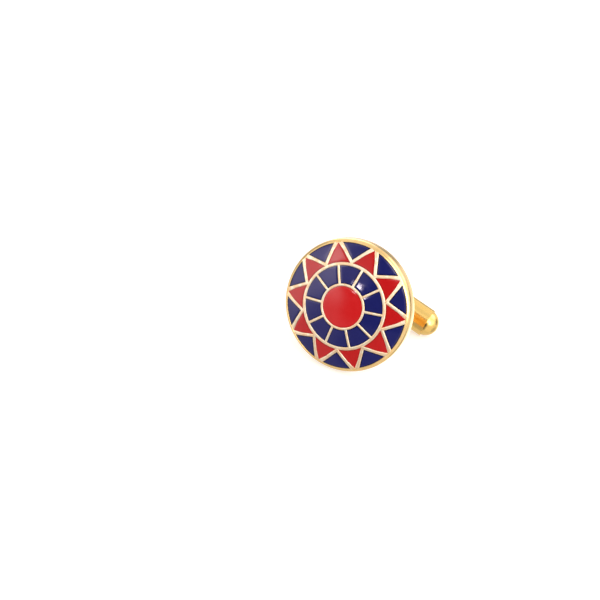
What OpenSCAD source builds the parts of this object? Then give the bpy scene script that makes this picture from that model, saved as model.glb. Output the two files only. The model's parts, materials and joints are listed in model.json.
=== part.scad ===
// Cufflink: a domed head with fired enamel fields, and a forked post with a swivelling bar.
// The part lies on a table as it comes to rest: on its rim, one end of its bar and one leg of its fork.
// The face looks towards -Y and up, the bar's lower end points towards +X, and +Z is up.
// Each piece is drawn in the head's own frame first: z runs along the post, 0 at the back lip,
// positive towards the face, x runs along the bar, and y along the rivet.

/* [Head] */
// Outer diameter of the head
head_d = 18; // [14:0.5:24]
// Radius of the dome that the face follows
dome_r = 21.9; // [16:0.1:60]
// Height of the straight side wall, from the back lip to the band's rounded edge
side_h = 1.24; // [0.8:0.02:2.4]
// Width of the bare gold band outside the enamel, seen from the front
band_w = 0.48; // [0.3:0.02:1]
// Radius of the band's rounded front edge
band_edge_r = 0.8; // [0.5:0.05:1]
// Radius of the rounded back edge
back_edge_r = 0.25; // [0.1:0.05:0.4]
// Width of the back lip
lip_w = 0.5; // [0.4:0.05:1]
// Thickness of the metal between the cells and the edge of the dished back
floor_t = 0.37; // [0.25:0.01:0.6]
// How much deeper the dish is at its flat middle than at its edge
dish_rise = 0.6; // [0.2:0.05:1]
// Width of the flat round the post's foot, outside the solder
seat_margin = 0.21; // [0.1:0.01:1.5]

/* [Enamel] */
// Number of rays, and of fields in each ring
rays = 10; // [6:1:12]
// Angle that the pattern is turned by against the bar
pattern_turn = 2.6; // [-10:0.1:10]
// Depth of a cell below the dome
cell_depth = 0.45; // [0.2:0.05:0.6]
// How far the enamel lies below the wires
enamel_sink = 0.02; // [0.01:0.01:0.1]
// Radius of the red centre, as a share of the enamel's radius
centre_share = 0.332; // [0.25:0.002:0.4]
// Width of the ring wire round the centre
centre_wire_w = 0.3; // [0.2:0.01:0.6]
// Outer radius of the inner ring of fields, as a share of the enamel's radius
ring_share = 0.65; // [0.55:0.002:0.7]
// Width of the ring wire round the inner fields
ring_wire_w = 0.4; // [0.2:0.01:0.7]
// Width of the radial spokes
spoke_w = 0.3; // [0.2:0.01:0.6]
// Width of the zigzag wires
zigzag_w = 0.4; // [0.2:0.01:0.7]
// Distance of the zigzag's inner turns from the ring wire
turn_gap = 0.12; // [0:0.01:0.4]
// How far outside the enamel the sides of the zigzag would meet
apex_over = 0.82; // [0.5:0.01:2]

/* [Post] */
// Distance from the back lip to the axis of the rivet
reach = 13; // [12:0.1:18]
// Width of the post along the bar
post_w = 2.8; // [2.2:0.1:4]
// How far off the head's middle the post is soldered, along the rivet
post_off = -0.37; // [-1:0.01:1]
// Thickness of each leg of the fork
leg_t = 0.85; // [0.6:0.05:1.3]
// How far the legs run past the axis of the rivet
tip_l = 2.1; // [1.8:0.1:3]
// Thickness of the solder bead round the foot
bead_t = 0.7; // [0.4:0.05:1]
// How far the middle of the bead lies outside the foot
bead_out = 0.12; // [0:0.02:0.3]

/* [Bar] */
// Outer diameter of the bar
bar_d = 4; // [3.5:0.1:6]
// Length of the bar over its domed ends
bar_l = 17.7; // [15:0.1:18.5]
// Wall of the bar's tube
tube_wall = 0.5; // [0.3:0.05:0.8]
// Radius of the rounded lip at each end of the tube
lip_edge_r = 0.25; // [0.1:0.05:0.3]
// Height of a plug's dome past the end of the tube
plug_h = 1.7; // [1:0.1:1.8]
// How much smaller than the tube a plug's dome is, in radius
plug_step = 0.17; // [0.05:0.01:0.3]
// Length of a plug's shank inside the tube
shank_l = 1.2; // [0.8:0.1:1.8]

/* [Pivot] */
// Diameter of the rivet in the fork and in the tube's wall
rivet_d = 1.3; // [1:0.05:1.5]
// Width over the flats of the rivet's squared middle, inside the tube
square_w = 0.88; // [0.6:0.02:0.9]
// Width over the turned-down corners of the rivet's squared middle
corner_d = 1.04; // [0.9:0.02:1.1]
// How far the rivet's ends stand proud of the legs
rivet_proud = 0.04; // [0.01:0.01:0.15]
// Thickness of a leaf spring
spring_t = 0.18; // [0.1:0.02:0.25]
// How far a leaf spring bows out from its middle to its ends
spring_bow = 0.4; // [0.2:0.02:0.6]

/* [Fits] */
// Radial clearance of the rivet in the bar
pivot_clear = 0.05; // [0.02:0.01:0.1]
// Clearance between the bar and each leg
side_clear = 0.1; // [0.08:0.01:0.25]
// Clearance between the bottom of the slot and the end of the bar
slot_clear = 0.2; // [0.15:0.05:0.6]
// Clearance all round a field of enamel in its cell
enamel_clear = 0.01; // [0.005:0.005:0.03]
// Clearance of a leaf spring from what it touches
spring_clear = 0.02; // [0.01:0.01:0.05]

/* [Hidden] */
$fn = 96;
// How far a cut runs past what it cuts
over = head_d / 20;
head_r = head_d / 2;
enamel_r = head_r - band_w;
dish_r = head_r - lip_w;
post_r = post_w / 2;
bar_r = bar_d / 2;
slot_w = bar_d + 2 * side_clear;
post_d = slot_w + 2 * leg_t;
// The band's rounded edge rises from the side wall to the enamel, and the dome starts there
band_z = side_h;
band_rise = sqrt(pow(band_edge_r, 2) - pow(band_edge_r - band_w, 2));
enamel_edge_z = band_z + band_rise;
dome_z = enamel_edge_z - sqrt(dome_r * dome_r - enamel_r * enamel_r);
head_h = dome_z + dome_r;
// The dish's floor is part of a sphere from the seat's edge to the foot of the lip
dish_edge_h = enamel_edge_z - cell_depth - floor_t;
dish_h = dish_edge_h + dish_rise;
seat_r = abs(post_off) + post_d / 2 + bead_out + bead_t / 2 + seat_margin;
dish_run = dish_r - seat_r;
// Radii of the pattern's rings, and of the zigzag's inner and outer turns
centre_r = centre_share * enamel_r;
ring_r = ring_share * enamel_r;
zigzag_in_r = ring_r + ring_wire_w + turn_gap;
zigzag_out_r = enamel_r + apex_over;
end_y = post_d / 2 - post_r;
tube_l = bar_l - 2 * plug_h;
bore_r = bar_r - tube_wall;
plug_r = bar_r - plug_step;
plug_sphere_r = (plug_r * plug_r + plug_h * plug_h) / (2 * plug_h);
rivet_r = rivet_d / 2;
// The square fits the tube's bore, and the round ends run through its wall
square_l = 2 * (bore_r - spring_clear);
// Middle of the rounded lip of the tube, along the bar
lip_x = tube_l / 2 - lip_edge_r;
// Middle of the sphere that a plug's dome is cut from, along the bar
plug_x = tube_l / 2 + plug_h - plug_sphere_r;
// The slot ends in a half round that the end of the bar swings clear of
slot_turn_z = lip_x + slot_clear - reach;
tip_z = -reach - tip_l;
pitch = 360 / rays;

// The direction that ends up uppermost, from the post's tilt and the roll about it
function up(tilt, roll) = [-sin(roll), cos(roll) * cos(tilt), cos(roll) * sin(tilt)];
// How far a ring reaches along a unit direction: its axis, middle, radius and the radius of its edge
function ring_reach(d, axis, middle, ring, edge) =
    d * middle + ring * sqrt(max(0, 1 - pow(d * axis, 2))) + edge;
// How far the rim's back edge reaches
function rim_reach(d) = ring_reach(d, [0, 0, 1], [0, 0, back_edge_r], head_r - back_edge_r, back_edge_r);
// How far the gold band round the enamel reaches
function band_reach(d) = ring_reach(d, [0, 0, 1], [0, 0, band_z], head_r - band_edge_r, band_edge_r);
// How far the nearer end of the bar reaches, by the lip of its tube or by its plug
function bar_reach(d) = max(
    ring_reach(d, [1, 0, 0], [sign(d.x) * lip_x, post_off, -reach], bar_r - lip_edge_r, lip_edge_r),
    d * [sign(d.x) * plug_x, post_off, -reach] + plug_sphere_r
);
// How far the tip of the nearer leg reaches, where its two rounds meet
function leg_reach(d) =
    d.y * post_off + abs(d.y) * end_y + d.z * (tip_z + post_r)
    + post_r * sqrt(pow(d.x, 2) + pow(abs(d.y) - d.z, 2));
// How far the dome reaches, where it is the dome and not the band that faces the direction
function dome_reach(d) = dome_r * sqrt(1 - pow(d.z, 2)) < enamel_r ? d.z * dome_z + dome_r : 0;
// How far the whole part reaches along a unit direction
function part_reach(d) =
    max(rim_reach(d), band_reach(d), bar_reach(d), d.z < 0 ? leg_reach(d) : dome_reach(d));

// The angle between two others at which a rising function is zero, found by halving
function root(rising, low, high, steps) =
    let (middle = (low + high) / 2)
    steps == 0 ? middle :
    rising(middle) > 0 ? root(rising, low, middle, steps - 1) : root(rising, middle, high, steps - 1);

// The rim, the tip of the lower leg and the lower end of the bar touch the table together
halvings = 26;
steepest = 60;
function tilt_at(roll) =
    root(function (t) leg_reach(-up(t, roll)) - rim_reach(-up(t, roll)), 0, steepest, halvings);
roll = root(
    function (r) bar_reach(-up(tilt_at(r), r)) - rim_reach(-up(tilt_at(r), r)), 0, steepest, halvings
);
tilt = tilt_at(roll);
yaw = -atan2(sin(tilt) * sin(roll), cos(tilt));
// The box's own axes, in the head's frame
up_axis = up(tilt, roll);
back_axis = (up_axis.z * up_axis - [0, 0, 1]) / norm(up_axis.z * up_axis - [0, 0, 1]);
side_axis = cross(back_axis, up_axis);
lift = part_reach(-up_axis);
shift = [for (axis = [side_axis, back_axis]) (part_reach(-axis) - part_reach(axis)) / 2];

function numbered(name, n) = [for (i = [1 : n]) str(name, i)];

gold = [0.86, 0.62, 0.24];
solder = [0.9, 0.72, 0.38];
steel = [0.62, 0.63, 0.66];
red = [0.75, 0.12, 0.11];
navy = [0.09, 0.09, 0.36];

// Puts the head's frame on the table
module laid() {
    translate([shift.x, shift.y, lift])
        rotate([0, 0, yaw]) rotate([0, roll, 0]) rotate([90 - tilt, 0, 0]) children();
}

// Puts the post's own middle on the table
module on_post() {
    laid() translate([0, post_off, 0]) children();
}

// Puts the bar's frame, with its length along z, at the rivet
module at_bar() {
    translate([0, 0, -reach]) rotate([0, 90, 0]) children();
}

// Outline of the head without its dish, in radius and height
module head_section() {
    intersection() {
        translate([0, dome_z]) circle(dome_r, $fn = 360);
        square([enamel_r, head_h]);
    }
    translate([enamel_r - over, back_edge_r]) square([over + band_w, band_z - back_edge_r]);
    intersection() {
        translate([head_r - band_edge_r, band_z]) circle(band_edge_r);
        translate([enamel_r - over, 0]) square([over + band_w, head_h]);
    }
    translate([enamel_r - over, 0]) square([over + band_w - back_edge_r, band_z]);
    translate([head_r - back_edge_r, back_edge_r]) circle(back_edge_r);
}

// Outline of the dish, in radius and height
module dish_section() {
    floor_r = (dish_run * dish_run + dish_rise * dish_rise) / (2 * dish_rise);
    translate([0, -over]) square([seat_r, dish_h + over]);
    translate([0, -over]) square([dish_r, dish_edge_h + over]);
    intersection() {
        translate([seat_r, dish_h - floor_r]) circle(floor_r, $fn = 360);
        square([dish_r, dish_h]);
    }
}

// The shell between two depths below the dome
module dome_shell(top, bottom) {
    intersection() {
        difference() {
            translate([0, 0, dome_z]) sphere(dome_r - top, $fn = 360);
            translate([0, 0, dome_z]) sphere(dome_r - bottom, $fn = 360);
        }
        cylinder(r = head_r, h = head_h + over);
    }
}

// A field's outline, drawn up to the shell that it fills
module field(top, bottom) {
    intersection() {
        dome_shell(top, bottom);
        linear_extrude(head_h + over) children();
    }
}

// A slice of a ring, with sides that run along the radii at half a wire's width from them
module ring_slice(r1, r2, wire, half) {
    apex = wire / 2 / sin(half);
    reach_r = head_d;
    intersection() {
        difference() {
            circle(r2);
            circle(r1);
        }
        polygon([
            [apex, 0],
            [apex + reach_r * cos(half), reach_r * sin(half)],
            [apex + reach_r * cos(half), -reach_r * sin(half)]
        ]);
    }
}

// The side of the zigzag from an inner turn to the point outside the enamel
zig_x = zigzag_in_r * cos(pitch / 2);
zig_y = zigzag_in_r * sin(pitch / 2);
zig_angle = atan2(zig_y, zigzag_out_r - zig_x);

module centre_outline(clear) {
    circle(centre_r - clear);
}

module inner_outline(clear) {
    ring_slice(centre_r + centre_wire_w + clear, ring_r - clear, spoke_w + 2 * clear, pitch / 2);
}

// A ray lies inside both sides of the zigzag, with its base on the ring wire
module ray_outline(clear) {
    tip = zigzag_out_r - (zigzag_w / 2 + clear) / sin(zig_angle);
    intersection() {
        difference() {
            circle(enamel_r - clear);
            circle(ring_r + ring_wire_w + clear);
        }
        polygon([
            [tip, 0],
            [tip - head_r * cos(zig_angle), head_r * sin(zig_angle)],
            [tip - head_r * cos(zig_angle), -head_r * sin(zig_angle)]
        ]);
    }
}

// A border field lies outside the sides that meet at an inner turn, with its arc on the rim
module border_outline(clear) {
    open = pitch / 2 + zig_angle;
    point = zigzag_in_r + (zigzag_w / 2 + clear) / sin(open);
    intersection() {
        ring_slice(ring_r + ring_wire_w + clear, enamel_r - clear, 2 * clear, pitch / 2);
        polygon([
            [point, 0],
            [point + head_r * cos(open), head_r * sin(open)],
            [point + head_r * cos(open), -head_r * sin(open)]
        ]);
    }
}

// Turns a field to its place: rays and spokes share their directions, fields lie between them
module turned(i, offset) {
    rotate([0, 0, 90 + pattern_turn + (i - 1 + offset) * pitch]) children();
}

module every_cell() {
    centre_outline(0);
    for (i = [1 : rays]) {
        turned(i, 0.5) inner_outline(0);
        turned(i, 0) ray_outline(0);
        turned(i, 0.5) border_outline(0);
    }
}

module face_plate() {
    color(gold) laid() difference() {
        rotate_extrude() difference() {
            head_section();
            dish_section();
        }
        field(-over, cell_depth) every_cell();
    }
}

module enamel(shade) {
    color(shade) laid() field(enamel_sink, cell_depth - enamel_clear) children();
}

module centre_enamel() {
    enamel(red) centre_outline(enamel_clear);
}

module inner_enamel(i) {
    enamel(navy) turned(i, 0.5) inner_outline(enamel_clear);
}

module ray_enamel(i) {
    enamel(red) turned(i, 0) ray_outline(enamel_clear);
}

module border_enamel(i) {
    enamel(navy) turned(i, 0.5) border_outline(enamel_clear);
}

// A solid with round ends, as thick as the post and grown by a margin
module post_blank(grow, z1, z2) {
    translate([0, 0, z1]) {
        for (side = [-1, 1]) {
            translate([0, side * end_y, 0]) cylinder(r = post_r + grow, h = z2 - z1);
        }
        translate([-post_r - grow, -end_y, 0]) cube([post_w + 2 * grow, 2 * end_y, z2 - z1]);
    }
}

module fork_post() {
    color(gold) on_post() difference() {
        union() {
            post_blank(0, tip_z + post_r, dish_h);
            intersection() {
                post_blank(0, tip_z, tip_z + post_r);
                translate([0, 0, tip_z + post_r]) rotate([90, 0, 0])
                    cylinder(r = post_r, h = post_d, center = true);
            }
        }
        translate([-post_w, -slot_w / 2, tip_z - over])
            cube([2 * post_w, slot_w, slot_turn_z - tip_z + over]);
        translate([0, 0, slot_turn_z]) rotate([0, 90, 0])
            cylinder(d = slot_w, h = 2 * post_w, center = true);
        translate([0, 0, -reach]) rotate([90, 0, 0]) cylinder(r = rivet_r, h = 2 * post_d, center = true);
    }
}

// The bead's cross-section, out from the foot and back from the seat
module bead_section() {
    intersection() {
        translate([post_r + bead_out, 0]) circle(bead_t / 2);
        translate([post_r, -bead_t]) square([bead_out + bead_t, bead_t]);
    }
}

// A round bead that follows the foot's outline on the seat
module solder_bead() {
    color(solder) on_post() translate([0, 0, dish_h]) {
        for (turn = [0, 180]) {
            rotate([0, 0, turn]) {
                translate([0, end_y, 0]) rotate_extrude(angle = 180) bead_section();
                translate([0, end_y, 0]) rotate([90, 0, 0]) linear_extrude(2 * end_y) bead_section();
            }
        }
    }
}

// The rivet's ends follow the rounded legs. Its middle is square inside the tube, with its corners
// turned down.
module pivot_rivet() {
    color(gold) on_post() intersection() {
        translate([0, 0, -reach]) union() {
            for (side = [-1, 1]) {
                translate([0, side * (square_l / 2 + post_d) / 2, 0]) rotate([90, 0, 0])
                    cylinder(r = rivet_r, h = post_d - square_l / 2, center = true);
            }
            intersection() {
                cube([square_w, square_l + over, square_w], center = true);
                rotate([90, 0, 0]) cylinder(d = corner_d, h = square_l + over, center = true);
            }
        }
        post_blank(rivet_proud, -reach - rivet_d, -reach + rivet_d);
    }
}

module bar_tube() {
    color(gold) on_post() at_bar() difference() {
        rotate_extrude() translate([bore_r, 0]) {
            translate([0, -tube_l / 2]) square([tube_wall - lip_edge_r, tube_l]);
            translate([0, lip_edge_r - tube_l / 2]) square([tube_wall, tube_l - 2 * lip_edge_r]);
            for (side = [-1, 1]) {
                translate([tube_wall - lip_edge_r, side * (tube_l / 2 - lip_edge_r)]) circle(lip_edge_r);
            }
        }
        rotate([90, 0, 0]) cylinder(r = rivet_r + pivot_clear, h = 2 * bar_d, center = true);
    }
}

// A plug's shank fills the end of the tube, and its dome closes it
module end_plug(side) {
    color(gold) on_post() at_bar() rotate([0, side * 90 - 90, 0]) {
        translate([0, 0, tube_l / 2 - shank_l]) cylinder(r = bore_r, h = shank_l);
        intersection() {
            translate([0, 0, tube_l / 2 + plug_h - plug_sphere_r]) sphere(plug_sphere_r);
            translate([0, 0, tube_l / 2]) cylinder(r = bar_r, h = plug_h);
        }
    }
}

module end_plug_left() {
    end_plug(-1);
}

module end_plug_right() {
    end_plug(1);
}

// A leaf bows from the rivet's corners in its middle to the tube's bore, where its ends lie
module detent_spring(side) {
    half_l = tube_l / 2 - shank_l - spring_clear;
    near = corner_d / 2 + spring_clear;
    spring_w = 2 * sqrt(pow(bore_r - spring_clear, 2) - pow(near + spring_bow + spring_t, 2));
    bow_r = (half_l * half_l + spring_bow * spring_bow) / (2 * spring_bow);
    color(steel) on_post() translate([0, 0, -reach]) mirror([0, 0, side > 0 ? 0 : 1]) intersection() {
        translate([0, 0, near + bow_r]) rotate([90, 0, 0]) difference() {
            cylinder(r = bow_r, h = spring_w, center = true, $fn = 360);
            cylinder(r = bow_r - spring_t, h = 2 * spring_w, center = true, $fn = 360);
        }
        translate([-half_l, -spring_w, 0]) cube([2 * half_l, 2 * spring_w, bar_r]);
    }
}

module detent_spring_upper() {
    detent_spring(1);
}

module detent_spring_lower() {
    detent_spring(-1);
}

face_plate();
centre_enamel();
for (i = [1 : rays]) {
    inner_enamel(i);
    ray_enamel(i);
    border_enamel(i);
}
fork_post();
solder_bead();
pivot_rivet();
bar_tube();
end_plug_left();
end_plug_right();
detent_spring_upper();
detent_spring_lower();
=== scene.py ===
"""A round cufflink: a domed gilt head with an enamel star, a forked post and a swivelling bar."""
import json
import logging
import math
from collections.abc import Callable, Iterator, Sequence
from contextlib import contextmanager
from dataclasses import dataclass
from enum import Enum

import bmesh
import bpy
from mathutils import Matrix, Vector


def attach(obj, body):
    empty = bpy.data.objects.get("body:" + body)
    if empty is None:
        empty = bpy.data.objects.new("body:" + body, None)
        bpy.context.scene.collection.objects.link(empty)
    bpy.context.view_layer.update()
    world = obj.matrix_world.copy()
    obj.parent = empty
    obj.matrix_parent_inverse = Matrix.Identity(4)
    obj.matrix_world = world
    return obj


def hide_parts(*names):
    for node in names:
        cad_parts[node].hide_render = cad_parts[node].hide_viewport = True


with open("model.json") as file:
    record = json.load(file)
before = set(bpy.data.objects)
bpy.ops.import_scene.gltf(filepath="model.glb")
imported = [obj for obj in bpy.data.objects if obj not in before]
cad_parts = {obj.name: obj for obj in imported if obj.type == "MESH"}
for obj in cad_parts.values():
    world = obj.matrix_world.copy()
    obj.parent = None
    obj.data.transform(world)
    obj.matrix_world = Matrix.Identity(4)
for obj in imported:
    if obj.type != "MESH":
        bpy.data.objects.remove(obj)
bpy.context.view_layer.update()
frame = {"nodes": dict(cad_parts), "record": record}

log = logging.getLogger("cufflink")
MM = 0.001
Pair = tuple[float, float]
Triple = tuple[float, float, float]
Piece = bpy.types.Object
Socket = bpy.types.NodeSocket


# ---------------------------------------------------------------- places

@dataclass(frozen=True)
class HeadFrame:
    """The head's own axes: x along the bar, y along the rivet, z out of the face from the lip."""

    origin: Vector
    x: Vector
    y: Vector
    z: Vector

    @classmethod
    def from_record(cls, record: dict, lip_middle: float) -> "HeadFrame":
        """Works the axes out from the joint and the lip's mount.

        Args:
            record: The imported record.
            lip_middle: Radius of the middle of the back lip, in millimetres.

        Returns:
            The head's frame, in the row frame.
        """
        swivel = record["behaviour"]["joints"][0]
        lip = next(m for m in record["mounts"] if m["name"] == "cuff_face")
        y = Vector(swivel["axis"]).normalized()
        z = -Vector(lip["axis"])
        z = (z - z.dot(y) * y).normalized()
        return cls(Vector(lip["pos_m"]) - lip_middle * MM * y, y.cross(z), y, z)

    def matrix(self, offset: Triple = (0.0, 0.0, 0.0)) -> Matrix:
        """The transform from local millimetres to the row frame.

        Args:
            offset: Where the piece's own zero lies in the head's frame, in millimetres.

        Returns:
            The transform to put a modelled piece in place.
        """
        turn = Matrix((self.x, self.y, self.z)).transposed().to_4x4()
        place = Matrix.Translation(self.origin) @ turn @ Matrix.Scale(MM, 4)
        return place @ Matrix.Translation(Vector(offset))

    def point(self, local: Triple) -> Vector:
        """A local point, in millimetres, as a point of the row frame."""
        return self.matrix() @ Vector(local)

    def direction(self, local: Triple) -> Vector:
        """A local direction as a unit direction of the row frame."""
        return (self.x * local[0] + self.y * local[1] + self.z * local[2]).normalized()


# ---------------------------------------------------------------- the modeller's bench

class Join(Enum):
    """Ways to combine two closed shapes."""

    CUT = "DIFFERENCE"
    KEEP_COMMON = "INTERSECT"


class Bench:
    """Modelling steps, for pieces in millimetres that are put in place at the end."""

    MERGE = 1e-4
    WELD = 0.002
    CUT = 1e-5

    @staticmethod
    def choose(piece: Piece) -> None:
        """Selects one object alone and makes it active.

        Args:
            piece: The object.
        """
        bpy.ops.object.select_all(action="DESELECT")
        piece.select_set(True)
        bpy.context.view_layer.objects.active = piece

    @staticmethod
    @contextmanager
    def editing(piece: Piece) -> Iterator[bmesh.types.BMesh]:
        """Opens a piece in edit mode with all of it selected.

        Args:
            piece: The piece to edit.

        Returns:
            The open mesh, for selecting by place.
        """
        Bench.choose(piece)
        bpy.ops.object.mode_set(mode="EDIT")
        bpy.ops.mesh.select_mode(type="VERT")
        bpy.ops.mesh.select_all(action="SELECT")
        yield bmesh.from_edit_mesh(piece.data)
        bpy.ops.object.mode_set(mode="OBJECT")

    @staticmethod
    def pick(mesh: bmesh.types.BMesh, test: Callable[[Vector], bool], kind: str = "VERT") -> None:
        """Selects what lies where the test says.

        Args:
            mesh: The open mesh.
            test: Whether a place belongs to the selection.
            kind: VERT to read vertices, FACE to read the middles of faces.
        """
        bpy.ops.mesh.select_mode(type=kind)
        bpy.ops.mesh.select_all(action="DESELECT")
        if kind == "FACE":
            for face in mesh.faces:
                face.select_set(test(face.calc_center_median()))
        else:
            for vertex in mesh.verts:
                vertex.select_set(test(vertex.co))
        mesh.select_flush_mode()

    @staticmethod
    def trace(name: str, points: Sequence[Sequence[float]], closed: bool = False) -> Piece:
        """Draws an outline by extruding one vertex from point to point.

        Args:
            name: The piece's name.
            points: The outline's points.
            closed: Whether the last point joins the first.

        Returns:
            The outline.
        """
        bpy.ops.object.select_all(action="DESELECT")
        bpy.ops.mesh.primitive_plane_add(size=1.0, location=tuple(points[0]))
        piece = bpy.context.active_object
        piece.name = piece.data.name = name
        bpy.ops.object.mode_set(mode="EDIT")
        bpy.ops.mesh.select_mode(type="VERT")
        bpy.ops.mesh.select_all(action="SELECT")
        bpy.ops.mesh.merge(type="CENTER")
        path = [Vector(point) for point in points] + ([Vector(points[0])] if closed else [])
        for start, end in zip(path, path[1:]):
            bpy.ops.mesh.extrude_region_move(TRANSFORM_OT_translate={"value": end - start})
        bpy.ops.mesh.select_all(action="SELECT")
        bpy.ops.mesh.remove_doubles(threshold=Bench.MERGE)
        bpy.ops.object.mode_set(mode="OBJECT")
        bpy.ops.object.transform_apply()
        return piece

    @staticmethod
    def revolve(piece: Piece, steps: int, angle: float = math.tau,
                centre: Triple = (0, 0, 0), axis: Triple = (0, 0, 1)) -> Piece:
        """Turns an outline into a surface, and merges its seam and poles.

        Args:
            piece: The outline.
            steps: How many steps the turn takes.
            angle: How far it turns, in radians.
            centre: A point of the axis.
            axis: The axis's direction.

        Returns:
            The surface.
        """
        with Bench.editing(piece):
            bpy.ops.mesh.spin(steps=steps, angle=angle, center=centre, axis=-Vector(axis))
            bpy.ops.mesh.select_all(action="SELECT")
            bpy.ops.mesh.remove_doubles(threshold=Bench.MERGE)
        return piece

    @staticmethod
    def pick_open_edges() -> None:
        """Selects the open edges of the piece that is in edit mode."""
        bpy.ops.mesh.select_mode(type="EDGE")
        bpy.ops.mesh.select_all(action="DESELECT")
        bpy.ops.mesh.select_non_manifold(extend=False)

    @staticmethod
    def face_outwards() -> None:
        """Turns every face of the piece that is in edit mode outwards."""
        bpy.ops.mesh.select_all(action="SELECT")
        bpy.ops.mesh.normals_make_consistent(inside=False)

    @staticmethod
    def close(piece: Piece) -> Piece:
        """Fills what is open and turns the faces outwards.

        Args:
            piece: The piece to close.

        Returns:
            The closed piece.
        """
        with Bench.editing(piece):
            Bench.pick_open_edges()
            bpy.ops.mesh.fill_holes(sides=0)
            Bench.face_outwards()
        return piece

    @staticmethod
    def weld(piece: Piece) -> Piece:
        """Merges points that nearly touch, and closes the piece again.

        Args:
            piece: The piece to weld.

        Returns:
            The closed piece.
        """
        with Bench.editing(piece):
            bpy.ops.mesh.remove_doubles(threshold=Bench.WELD)
        return Bench.close(piece)

    @staticmethod
    def push(piece: Piece, along: Sequence[float]) -> Piece:
        """Extrudes a flat outline into a solid.

        Args:
            piece: The closed outline.
            along: How far and which way it goes.

        Returns:
            The solid.
        """
        with Bench.editing(piece):
            bpy.ops.mesh.edge_face_add()
            bpy.ops.mesh.extrude_region_move(TRANSFORM_OT_translate={"value": tuple(along)})
            Bench.face_outwards()
        return piece

    @staticmethod
    def slice(piece: Piece, point: Sequence[float], normal: Sequence[float], fill: bool = False
              ) -> None:
        """Cuts off what lies on the normal's side of a plane.

        Args:
            piece: The piece to cut.
            point: A point of the plane.
            normal: The side to remove.
            fill: Whether the cut is closed with a face.
        """
        with Bench.editing(piece):
            bpy.ops.mesh.bisect(plane_co=tuple(point), plane_no=tuple(normal), clear_outer=True,
                                use_fill=fill, threshold=Bench.CUT)

    @staticmethod
    def combine(piece: Piece, other: Piece, join: Join) -> Piece:
        """Combines two closed shapes and removes the second.

        Args:
            piece: The shape that stays.
            other: The shape that it is combined with.
            join: How they are combined.

        Returns:
            The first shape.
        """
        Bench.choose(piece)
        modifier = piece.modifiers.new("join", "BOOLEAN")
        modifier.operation, modifier.solver, modifier.object = join.value, "EXACT", other
        bpy.ops.object.modifier_apply(modifier=modifier.name)
        bpy.data.objects.remove(other)
        return piece

    @staticmethod
    def soften(piece: Piece, width: float, segments: int = 3, angle: float = 32.0) -> None:
        """Rounds the sharp edges.

        Args:
            piece: The piece to round.
            width: Width of the rounding, in millimetres.
            segments: Faces across the rounding.
            angle: Least angle of an edge that is rounded, in degrees.
        """
        Bench.choose(piece)
        modifier = piece.modifiers.new("soft_edges", "BEVEL")
        modifier.width, modifier.segments = width, segments
        modifier.limit_method, modifier.angle_limit = "ANGLE", math.radians(angle)
        modifier.use_clamp_overlap = True
        bpy.ops.object.modifier_apply(modifier=modifier.name)
        Bench.weld(piece)

    @staticmethod
    def merge(pieces: Sequence[Piece], name: str) -> Piece:
        """Joins pieces into one object.

        Args:
            pieces: The pieces, the first of which stays.
            name: The joined piece's name.

        Returns:
            The joined piece.
        """
        Bench.choose(pieces[0])
        for piece in pieces[1:]:
            piece.select_set(True)
        bpy.ops.object.join()
        pieces[0].name = pieces[0].data.name = name
        return pieces[0]

    @staticmethod
    def copy_turned(piece: Piece, name: str, angle: float) -> Piece:
        """Copies a piece with its own mesh, turned round the head's axis.

        Args:
            piece: The piece to copy.
            name: The copy's name.
            angle: How far it is turned, in degrees.

        Returns:
            The copy.
        """
        Bench.choose(piece)
        bpy.ops.object.duplicate(linked=False)
        made = bpy.context.active_object
        made.name = made.data.name = name
        made.rotation_euler.z = math.radians(angle)
        bpy.ops.object.transform_apply()
        return made

    @staticmethod
    def settle(piece: Piece, place: Matrix, smooth: float = 38.0) -> Piece:
        """Puts a finished piece in place, with its place in its mesh.

        Args:
            piece: The piece, in local millimetres.
            place: The transform to the row frame.
            smooth: Largest angle that is shaded smooth, in degrees.

        Returns:
            The piece.
        """
        Bench.choose(piece)
        piece.matrix_world = place @ piece.matrix_world
        bpy.ops.object.transform_apply()
        bpy.ops.object.shade_smooth_by_angle(angle=math.radians(smooth))
        return piece


def arc(centre: Pair, radius: float, start: float, end: float, steps: int) -> list[Pair]:
    """Points of an arc in a plane.

    Args:
        centre: The arc's middle.
        radius: Its radius.
        start: Its first angle, in degrees.
        end: Its last angle, in degrees.
        steps: How many steps it takes.

    Returns:
        The points, both ends included.
    """
    angles = [math.radians(start + (end - start) * i / steps) for i in range(steps + 1)]
    return [(centre[0] + radius * math.cos(a), centre[1] + radius * math.sin(a)) for a in angles]


# ---------------------------------------------------------------- the cufflink's sizes

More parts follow.
